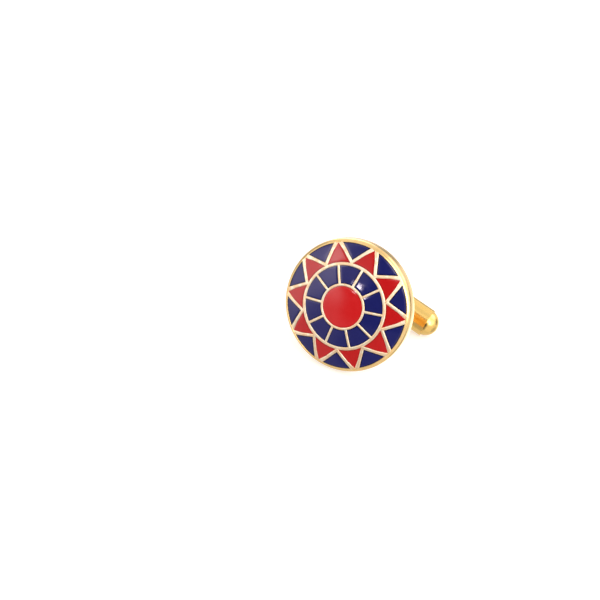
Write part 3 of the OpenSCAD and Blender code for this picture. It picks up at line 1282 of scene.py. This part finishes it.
class Graph:
    """A short way to place and join shader nodes."""

    def __init__(self, tree: bpy.types.NodeTree) -> None:
        """Keeps the tree to build in."""
        self.tree = tree

    def node(self, kind: str, settings: dict | None = None, inputs: dict | None = None
             ) -> bpy.types.Node:
        """Places a node.

        Args:
            kind: The node's type name.
            settings: Properties to set on the node.
            inputs: Sockets by name or number, each given a value or the socket that feeds it.

        Returns:
            The new node.
        """
        made = self.tree.nodes.new(kind)
        for name, value in (settings or {}).items():
            setattr(made, name, value)
        for name, value in (inputs or {}).items():
            if isinstance(value, Socket):
                self.feed(value, made.inputs[name])
            else:
                made.inputs[name].default_value = value
        return made

    def feed(self, source: Socket, target: Socket) -> None:
        """Joins an output to the input that it feeds."""
        self.tree.links.new(source, target)

    def group(self, tree: bpy.types.NodeTree, inputs: dict) -> bpy.types.Node:
        """Places one of the shared groups."""
        return self.node("ShaderNodeGroup", {"node_tree": tree}, inputs)

    def maths(self, operation: str, a: object, b: object = 0.0, c: object = 0.0) -> Socket:
        """A sum of up to three values or sockets, by the name of its kind."""
        return self.node("ShaderNodeMath", {"operation": operation}, {0: a, 1: b, 2: c}).outputs[0]

    def blend(self, share: object, a: object, b: object) -> Socket:
        """A blend of two values: the share of the second shows."""
        return self.node("ShaderNodeMix", None, {0: share, 2: a, 3: b}).outputs[0]

    def blend_colour(self, share: object, a: object, b: object) -> Socket:
        """A blend of two colours: the share of the second shows."""
        return self.node("ShaderNodeMix", {"data_type": "RGBA"}, {0: share, 6: a, 7: b}).outputs[2]

    def noise(self, place: Socket, scale: object, detail: float = 2.0, roughness: float = 0.5
              ) -> Socket:
        """A cloudy pattern.

        Args:
            place: The place to read it at.
            scale: How fine it is.
            detail: How many finer patterns lie on it.
            roughness: How strong these are.

        Returns:
            The socket with its value.
        """
        inputs = {"Vector": place, "Scale": scale, "Detail": detail, "Roughness": roughness}
        return self.node("ShaderNodeTexNoise", None, inputs).outputs[0]

    def ramp(self, value: Socket, low: float, high: float) -> Socket:
        """A value brought from between two bounds to between 0 and 1, with soft ends.

        Args:
            value: The socket to read.
            low: What becomes 0.
            high: What becomes 1.

        Returns:
            The socket with the result.
        """
        made = self.node("ShaderNodeMapRange", {"interpolation_type": "SMOOTHSTEP"},
                         {"Value": value, "From Min": low, "From Max": high})
        return made.outputs["Result"]


class Effects:
    """Shader node groups that several finishes share."""

    def __init__(self, face: Face) -> None:
        """Builds each group once.

        Args:
            face: The head's sizes, for the cells' edges.
        """
        self.ripple = self._ripple()
        self.scratches = self._scratches()
        self.cell_edge = self._cell_edge(face)

    @staticmethod
    def start_group(name: str, inputs: dict[str, float | None], outputs: Sequence[str]
                    ) -> tuple[bpy.types.NodeTree, Graph, bpy.types.Node, bpy.types.Node]:
        """Starts a node group.

        Args:
            name: The group's name.
            inputs: Starting value of each input, or None where it reads a place.
            outputs: The name of each value that it puts out.

        Returns:
            The group, its graph, its input node and its output node.
        """
        tree = bpy.data.node_groups.new(name, "ShaderNodeTree")
        for label, value in inputs.items():
            kind = "NodeSocketVector" if value is None else "NodeSocketFloat"
            socket = tree.interface.new_socket(name=label, in_out="INPUT", socket_type=kind)
            if value is not None:
                socket.default_value = value
        for label in outputs:
            tree.interface.new_socket(name=label, in_out="OUTPUT", socket_type="NodeSocketFloat")
        graph = Graph(tree)
        return tree, graph, graph.node("NodeGroupInput"), graph.node("NodeGroupOutput")

    def _ripple(self) -> bpy.types.NodeTree:
        """Soft hand-polished unevenness: broad waves with finer ones on them.

        Returns:
            The group, which reads a place in millimetres and puts out a height and a mask.
        """
        tree, graph, read, write = self.start_group(
            "hand_polish", {"Place": None, "Broad": 0.35, "Fine": 1.6, "Share of fine": 0.3},
            ("Height", "Mask"))
        broad = graph.noise(read.outputs["Place"], read.outputs["Broad"], 1.0)
        fine = graph.noise(read.outputs["Place"], read.outputs["Fine"])
        height = graph.maths("MULTIPLY_ADD", fine, read.outputs["Share of fine"], broad)
        graph.feed(height, write.inputs["Height"])
        graph.feed(graph.ramp(fine, 0.35, 0.65), write.inputs["Mask"])
        return tree

    def _cell_edge(self, face: Face) -> bpy.types.NodeTree:
        """How far a place on the face is from the nearest wire, in millimetres.

        Args:
            face: The head's sizes.

        Returns:
            The group, which reads a place in the head's millimetres and puts out a distance.
        """
        tree, graph, read, write = self.start_group("cell_edge", {"Place": None}, ("Distance",))
        flat = graph.node("ShaderNodeSeparateXYZ", None, {0: read.outputs["Place"]}).outputs
        radius = graph.maths("SQRT", graph.maths(
            "MULTIPLY_ADD", flat[0], flat[0], graph.maths("MULTIPLY", flat[1], flat[1])))
        turn = graph.maths("SUBTRACT", graph.maths("ARCTAN2", flat[1], flat[0]),
                           math.radians(face.direction(0)))
        fold = graph.maths("PINGPONG", turn, math.radians(face.pitch / 2))
        across = graph.maths("MULTIPLY", radius, graph.maths("SINE", fold))
        along = graph.maths("MULTIPLY", radius, graph.maths("COSINE", fold))
        inner = face.centre_r + face.centre_wire_w / 2
        outer = face.ring_r + face.ring_wire_w / 2
        spoke = graph.maths("SUBTRACT", across, face.spoke_w / 2)
        x, y = face.turn_in
        side = Vector((y, face.apex - x)).normalized()
        line = graph.maths("MULTIPLY_ADD", graph.maths("SUBTRACT", along, face.apex), side.x,
                           graph.maths("MULTIPLY", across, side.y))
        zigzag = graph.maths("SUBTRACT", graph.maths("ABSOLUTE", line), face.zigzag_w / 2)
        beside = graph.blend(graph.maths("GREATER_THAN", radius, inner), face.head_r, spoke)
        beside = graph.blend(graph.maths("GREATER_THAN", radius, outer), beside, zigzag)
        nearest = graph.maths("MINIMUM", beside, graph.maths("SUBTRACT", face.enamel_r, radius))
        for middle, width in ((inner, face.centre_wire_w), (outer, face.ring_wire_w)):
            off = graph.maths("ABSOLUTE", graph.maths("SUBTRACT", radius, middle))
            nearest = graph.maths("MINIMUM", nearest, graph.maths("SUBTRACT", off, width / 2))
        graph.feed(nearest, write.inputs["Distance"])
        return tree

    def _scratches(self) -> bpy.types.NodeTree:
        """Hair-fine wear lines in two directions, in patches.

        Returns:
            The group, which reads a place in millimetres and puts out a height and a mask.
        """
        tree, graph, read, write = self.start_group(
            "wear_lines", {"Place": None, "Amount": 0.5}, ("Height", "Mask"))
        place, lines = read.outputs["Place"], []
        for turn, stretch in (((0.3, 0.2, 0.5), (26.0, 1.1, 1.3)),
                              ((0.9, 1.1, 2.0), (1.2, 30.0, 1.0))):
            turned = graph.node("ShaderNodeMapping", None,
                                {"Vector": place, "Rotation": turn, "Scale": stretch})
            lines.append(graph.ramp(graph.noise(turned.outputs[0], 1.0, 2.0, 0.6), 0.62, 0.74))
        patches = graph.ramp(graph.noise(place, 0.5), 0.4, 0.65)
        worn = graph.maths("MULTIPLY", graph.maths("MAXIMUM", *lines), patches)
        mask = graph.maths("MULTIPLY", worn, read.outputs["Amount"])
        graph.feed(mask, write.inputs["Mask"])
        graph.feed(graph.maths("SUBTRACT", 1.0, mask), write.inputs["Height"])
        return tree


@dataclass(frozen=True)
class Finish:
    """What every finish has: its name, the head's place and the shared effects."""

    name: str
    place: Matrix
    effects: Effects

    def start(self) -> tuple[bpy.types.Material, Graph, bpy.types.Node, Socket]:
        """Makes an empty material with its shader.

        Returns:
            The material, its graph, the shader and the place in the head's own millimetres.
        """
        material = bpy.data.materials.new(self.name)
        material.use_nodes = True
        graph = Graph(material.node_tree)
        shader = material.node_tree.nodes["Principled BSDF"]
        to_local = self.place.inverted()
        turn = to_local.to_3x3().normalized()
        object_place = graph.node("ShaderNodeTexCoord").outputs["Object"]
        mapping = graph.node("ShaderNodeMapping", {"vector_type": "POINT"}, {
            "Vector": object_place, "Location": to_local.translation,
            "Rotation": turn.to_euler("XYZ"), "Scale": (1 / MM, 1 / MM, 1 / MM)})
        return material, graph, shader, mapping.outputs[0]

    @staticmethod
    def surface(graph: Graph, shader: bpy.types.Node, tone: Socket, rough: Socket,
                height: Socket, depth: float) -> None:
        """Gives the shader its colour, its roughness and its unevenness.

        Args:
            graph: The material's graph.
            shader: The shader.
            tone: The colour.
            rough: The roughness.
            height: The unevenness.
            depth: How deep the unevenness is, in millimetres.
        """
        bump = graph.node("ShaderNodeBump", None,
                          {"Height": height, "Strength": 1.0, "Distance": depth * MM})
        graph.feed(tone, shader.inputs["Base Color"])
        graph.feed(rough, shader.inputs["Roughness"])
        graph.feed(bump.outputs[0], shader.inputs["Normal"])


@dataclass(frozen=True)
class Gilding(Finish):
    """Gold plate over brass."""

    colour: Triple
    deep: Triple
    roughness: float
    spread: float
    ripple: float
    broad: float = 0.35
    scratches: float = 0.4
    worn_rough: float = 0.15
    worn_depth: float = 0.06

    def material(self) -> bpy.types.Material:
        """Builds the material.

        Returns:
            The finished material.
        """
        material, graph, shader, place = self.start()
        polish = graph.group(self.effects.ripple, {"Place": place, "Broad": self.broad}).outputs
        wear = graph.group(self.effects.scratches,
                           {"Place": place, "Amount": self.scratches}).outputs
        tone = graph.blend_colour(polish["Mask"], (*self.colour, 1), (*self.deep, 1))
        rough = graph.maths("MULTIPLY_ADD", polish["Mask"], self.spread, self.roughness)
        rough = graph.maths("MULTIPLY_ADD", wear["Mask"], self.worn_rough, rough)
        height = graph.maths("MULTIPLY_ADD", wear["Height"], self.worn_depth, polish["Height"])
        self.surface(graph, shader, tone, rough, height, self.ripple)
        shader.inputs["Metallic"].default_value = 1.0
        return material


@dataclass(frozen=True)
class Enamel(Finish):
    """Opaque fired enamel, ground and polished, with painted shade next to the wires."""

    colour: Triple
    cloud: Triple
    # Darker colour painted next to the wires as shade.
    rim: Triple
    roughness: float = 0.07
    spread: float = 0.06
    ripple: float = 0.004
    # Distances from a wire over which the painted shade fades out, in millimetres.
    edge_shade_band: Pair = (0.04, 0.17)
    glint_tint: Triple = (1.0, 1.0, 1.0)
    pillow_w: float = 0.3
    pillow_h: float = 5.0
    broad: float = 0.55
    fine: float = 2.4
    fine_share: float = 0.35
    grain: float = 9.0
    grain_band: Pair = (0.4, 0.7)
    grain_share: float = 0.5
    cloud_share: float = 0.35
    ior: float = 1.5

    def material(self) -> bpy.types.Material:
        """Builds the material.

        Returns:
            The finished material.
        """
        material, graph, shader, place = self.start()
        polish = graph.group(self.effects.ripple, {
            "Place": place, "Broad": self.broad, "Fine": self.fine,
            "Share of fine": self.fine_share}).outputs
        grain = graph.ramp(graph.noise(place, self.grain, 3.0), *self.grain_band)
        share = graph.maths("MULTIPLY", grain, self.grain_share)
        share = graph.maths("MULTIPLY_ADD", polish["Mask"], self.cloud_share, share)
        tone = graph.blend_colour(share, (*self.colour, 1), (*self.cloud, 1))
        edge = graph.group(self.effects.cell_edge, {"Place": place}).outputs["Distance"]
        # Painted shade: near a wire the colour fades to the darker rim colour, for the shade that
        # the wires cast on the sunk enamel.
        tone = graph.blend_colour(graph.ramp(edge, *self.edge_shade_band), (*self.rim, 1), tone)
        rough = graph.maths("MULTIPLY_ADD", polish["Mask"], self.spread, self.roughness)
        height = graph.maths("MULTIPLY_ADD", graph.ramp(edge, 0.0, self.pillow_w), self.pillow_h,
                             polish["Height"])
        self.surface(graph, shader, tone, rough, height, self.ripple)
        shader.inputs["IOR"].default_value = self.ior
        shader.inputs["Specular Tint"].default_value = (*self.glint_tint, 1)
        return material


# ---------------------------------------------------------------- the photograph's view

@dataclass
class PhotoView:
    """The camera, as the photograph's perspective gives it in the head's frame."""

    head: HeadFrame
    right: Triple = (0.7966, 0.4720, -0.3777)
    up: Triple = (-0.5488, 0.8266, -0.1243)
    anchor: Triple = (0.0, 0.0, 1.5)
    anchor_px: Pair = (347.72, 305.04)
    image_px: float = 600.0
    focal_px: float = 2999.2
    distance: float = 400.0
    sensor: float = 36.0
    clip: Pair = (0.02, 20.0)

    def build(self) -> Piece:
        """Makes the camera.

        Returns:
            The camera.
        """
        data = bpy.data.cameras.new("photo_camera")
        data.sensor_width = self.sensor
        data.lens = self.focal_px / self.image_px * data.sensor_width
        data.clip_start, data.clip_end = self.clip
        right = self.head.direction(self.right)
        up = self.head.direction(self.up)
        up = (up - up.dot(right) * right).normalized()
        back = right.cross(up)
        middle = self.image_px / 2
        aside = (self.anchor_px[0] - middle) / self.focal_px * self.distance
        above = (middle - self.anchor_px[1]) / self.focal_px * self.distance
        away = (back * self.distance - right * aside - up * above) * MM
        place = Matrix.Translation(self.head.point(self.anchor) + away)
        camera = bpy.data.objects.new("photo_camera", data)
        camera.matrix_world = place @ Matrix((right, up, back)).transposed().to_4x4()
        bpy.context.collection.objects.link(camera)
        bpy.context.scene.camera = camera
        return camera


@dataclass(frozen=True)
class Aim:
    """A direction in degrees: turn 0 is towards the camera, 90 to the right."""

    turn: float
    rise: float

    def direction(self) -> Vector:
        """Its direction in the row frame."""
        t, r = math.radians(self.turn), math.radians(self.rise)
        return Vector((math.sin(t) * math.cos(r), -math.cos(t) * math.cos(r), math.sin(r)))


@dataclass(frozen=True)
class Patch(Aim):
    """One part of the tent round the cufflink: even inside one angle, faded out at another."""

    full: float
    end: float
    level: float


@dataclass(frozen=True)
class SoftBox(Aim):
    """A lamp: its name, its level, and its width and height in metres."""

    name: str
    level: float
    size: Pair


@dataclass
class Studio:
    """A white floor in a pale tent with a dark opening for the camera, and its lamps."""

    floor_size: float = 4.0
    floor_tone: float = 0.8
    floor_matt: float = 0.9
    floor_glow: float = 0.5
    floor_mirror: float = 0.8
    plain: float = 1.0
    matt_share: float = 0.66
    patches: tuple[Patch, ...] = (
        Patch(92, 40, 30, 48, 1.4), Patch(-45, 9, 19, 34, 1.9), Patch(-40, 26, 5, 13, 2.4),
        Patch(2, 34, 23, 34, 0.06), Patch(-14, -22, 22, 42, 0.5), Patch(9, 6, 20, 32, 0.06),
        Patch(4, -22, 12, 24, 0.08), Patch(-20, 35, 7, 17, 0.62), Patch(0, 88, 10, 24, 0.88),
        Patch(-6, 68, 5, 14, 1.0), Patch(42, 50, 14, 24, 3.2), Patch(75, 20, 12, 24, 2.3),
        Patch(-100, 10, 12, 30, 0.5), Patch(0, -80, 24, 45, 0.8), Patch(135, 42, 12, 24, 2.6),
        Patch(-150, 20, 12, 24, 2.4), Patch(180, -28, 14, 24, 2.3), Patch(-174, 3, 7, 15, 0.4),
        Patch(130, -2, 9, 20, 0.25), Patch(110, -40, 12, 24, 0.5))
    lamps: tuple[SoftBox, ...] = (
        SoftBox(-11.2, 23.9, "key_lamp", 60.0, (0.03, 0.03)),
        SoftBox(-42, 33, "soft_box_left", 1.3, (0.16, 0.16)),
        SoftBox(60, 24, "soft_box_right", 3.0, (0.2, 0.3)))
    lamp_distance: float = 0.6
    lamp_rise: float = 0.008

    def tent(self) -> bpy.types.NodeTree:
        """How bright the tent is in each direction.

        Returns:
            The group, which reads a direction and puts out a level.
        """
        tree, graph, read, write = Effects.start_group("tent", {"Direction": None}, ("Level",))
        level: object = self.plain
        for patch in self.patches:
            near = graph.node("ShaderNodeVectorMath", {"operation": "DOT_PRODUCT"},
                              {0: read.outputs["Direction"], 1: patch.direction()}).outputs["Value"]
            bounds = (math.cos(math.radians(angle)) for angle in (patch.end, patch.full))
            level = graph.blend(graph.ramp(near, *bounds), level, patch.level)
        graph.feed(level, write.inputs["Level"])
        return tree

    def floor(self, tent: bpy.types.NodeTree) -> Piece:
        """Lays the floor: white to the camera, with its shadow, and part of the tent to the metal.

        Args:
            tent: The group with the tent's levels.

        Returns:
            The floor.
        """
        bpy.ops.object.select_all(action="DESELECT")
        bpy.ops.mesh.primitive_plane_add(size=self.floor_size, location=(0, 0, 0))
        floor = bpy.context.active_object
        floor.name = "white_floor"
        material = bpy.data.materials.new("white_floor")
        material.use_nodes = True
        graph = Graph(material.node_tree)
        shader = material.node_tree.nodes["Principled BSDF"]
        tone = (self.floor_tone, self.floor_tone, self.floor_tone, 1)
        for name, value in (("Base Color", tone), ("Roughness", self.floor_matt),
                            ("Specular IOR Level", 0.0), ("Emission Color", (1, 1, 1, 1))):
            shader.inputs[name].default_value = value
        path = graph.node("ShaderNodeLightPath").outputs
        seen = graph.maths("MAXIMUM", path["Is Camera Ray"], path["Is Transmission Ray"])
        glowing = graph.maths("MULTIPLY", seen, self.floor_glow)
        graph.feed(glowing, shader.inputs["Emission Strength"])
        incoming = graph.node("ShaderNodeNewGeometry").outputs["Incoming"]
        ray = graph.node("ShaderNodeVectorMath", {"operation": "SCALE"},
                         {0: incoming, "Scale": -1.0})
        around = graph.group(tent, {"Direction": ray.outputs[0]})
        glow = graph.node("ShaderNodeEmission", None, {"Strength": around.outputs["Level"]})
        mirrored = graph.maths("MULTIPLY", path["Is Glossy Ray"], self.floor_mirror)
        mix = graph.node("ShaderNodeMixShader", None,
                         {0: mirrored, 1: shader.outputs[0], 2: glow.outputs[0]})
        graph.feed(mix.outputs[0], material.node_tree.nodes["Material Output"].inputs[0])
        floor.data.materials.append(material)
        return floor

    def surround(self, tent: bpy.types.NodeTree) -> None:
        """Lights the world: white to the camera, the tent to everything else.

        Args:
            tent: The group with the tent's levels.
        """
        world = bpy.data.worlds.new("pale_tent")
        bpy.context.scene.world = world
        world.use_nodes = True
        graph = Graph(world.node_tree)
        background = world.node_tree.nodes["Background"].inputs
        ray = graph.node("ShaderNodeTexCoord").outputs["Generated"]
        around = graph.group(tent, {"Direction": ray}).outputs["Level"]
        path = graph.node("ShaderNodeLightPath").outputs
        matt = graph.maths("MULTIPLY_ADD", path["Is Diffuse Ray"], self.matt_share - 1.0, 1.0)
        level = graph.maths("MULTIPLY", around, matt)
        background["Color"].default_value = (1, 1, 1, 1)
        graph.feed(graph.blend(path["Is Camera Ray"], level, 1.0), background["Strength"])

    def lamp(self, box: SoftBox) -> Piece:
        """Hangs a soft box that faces the cufflink.

        Args:
            box: The lamp's place, level and size.

        Returns:
            The lamp.
        """
        data = bpy.data.lights.new(box.name, "AREA")
        data.shape = "RECTANGLE"
        data.size, data.size_y = box.size
        data.energy = box.level * math.pi * box.size[0] * box.size[1]
        lamp = bpy.data.objects.new(box.name, data)
        lamp.location = box.direction() * self.lamp_distance + Vector((0, 0, self.lamp_rise))
        lamp.rotation_euler = (-box.direction()).to_track_quat("-Z", "Y").to_euler()
        bpy.context.collection.objects.link(lamp)
        return lamp

    def build(self) -> None:
        """Sets the floor, the surround and the lamps."""
        tent = self.tent()
        self.floor(tent)
        self.surround(tent)
        for box in self.lamps:
            self.lamp(box)
        bpy.context.scene.view_settings.view_transform = "Standard"


# ---------------------------------------------------------------- the cufflink

@dataclass
class Finishes:
    """Every finish of the cufflink, made once."""

    head: HeadFrame
    effects: Effects

    def __post_init__(self) -> None:
        """Makes the materials."""
        shared = {"place": self.head.matrix(), "effects": self.effects}
        self.polished = Gilding(
            name="polished_gilt", colour=(0.96, 0.66, 0.30), deep=(0.94, 0.61, 0.25),
            roughness=0.14, spread=0.06, ripple=0.02, **shared).material()
        self.fittings = Gilding(
            name="fittings_gilt", colour=(0.97, 0.64, 0.21), deep=(0.955, 0.615, 0.185),
            roughness=0.16, spread=0.08, ripple=0.03, **shared).material()
        # The wires' gold is paler than the rest of the gilding: a painted highlight, for the bright
        # light that the rounded wires catch.
        self.wire = Gilding(
            name="wire_gilt", colour=(1.0, 0.86, 0.65), deep=(0.98, 0.70, 0.44),
            roughness=0.5, spread=0.1, ripple=0.03, broad=0.9, **shared).material()
        self.satin = Gilding(
            name="satin_gilt", colour=(0.90, 0.57, 0.19), deep=(0.89, 0.555, 0.18),
            roughness=0.4, spread=0.04, ripple=0.01, **shared).material()
        self.solder = Gilding(
            name="solder_gilt", colour=(0.94, 0.62, 0.22), deep=(0.85, 0.50, 0.15),
            roughness=0.2, spread=0.12, ripple=0.05, broad=1.2, **shared).material()
        # Each enamel's rim colour is painted shade: darker than its own colour, shown next to the
        # wires.
        self.red = Enamel(
            name="red_enamel", colour=(0.55, 0.009, 0.009), cloud=(0.58, 0.012, 0.011),
            rim=(0.36, 0.012, 0.010), **shared).material()
        self.centre_red = Enamel(
            name="centre_red_enamel", colour=(0.65, 0.013, 0.014), cloud=(0.68, 0.017, 0.018),
            rim=(0.42, 0.014, 0.012), **shared).material()
        self.navy = Enamel(
            name="navy_enamel", colour=(0.011, 0.0135, 0.114), cloud=(0.0135, 0.016, 0.13),
            rim=(0.005, 0.003, 0.024), glint_tint=(1.0, 0.84, 0.96), **shared).material()
        self.steel = Gilding(
            name="spring_steel", colour=(0.56, 0.57, 0.58), deep=(0.45, 0.46, 0.48),
            roughness=0.3, spread=0.1, ripple=0.01, **shared).material()


def dress(node: str, material: bpy.types.Material) -> None:
    """Gives a CAD node its material.

    Args:
        node: The node's name.
        material: The material for all its slots.
    """
    target = frame["nodes"][node]
    target.data.materials.clear()
    target.data.materials.append(material)


def main() -> None:
    """Builds and dresses the cufflink and the studio."""
    logging.basicConfig(level=logging.INFO, format="%(message)s")
    face, fork = Face(), Fork()
    head = HeadFrame.from_record(frame["record"], face.lip_middle)
    PhotoView(head).build()
    Studio().build()
    finishes = Finishes(head, Effects(face))
    for name in frame["nodes"]:
        if name.startswith("detent"):
            dress(name, finishes.steel)
    behind = head.matrix((0.0, fork.post_off, 0.0))
    pieces = [GiltHead(face).build(head.matrix(), finishes)]
    pieces += EnamelStar(face).build(head.matrix(), finishes)
    pieces += ForkedPost(fork, face.dish_h).build(behind, finishes)
    pieces += SwivelBar(fork).build(behind, finishes)
    for piece in pieces:
        log.info("%s: %d faces", piece.name, len(piece.data.polygons))


if __name__ == "__main__":
    main()
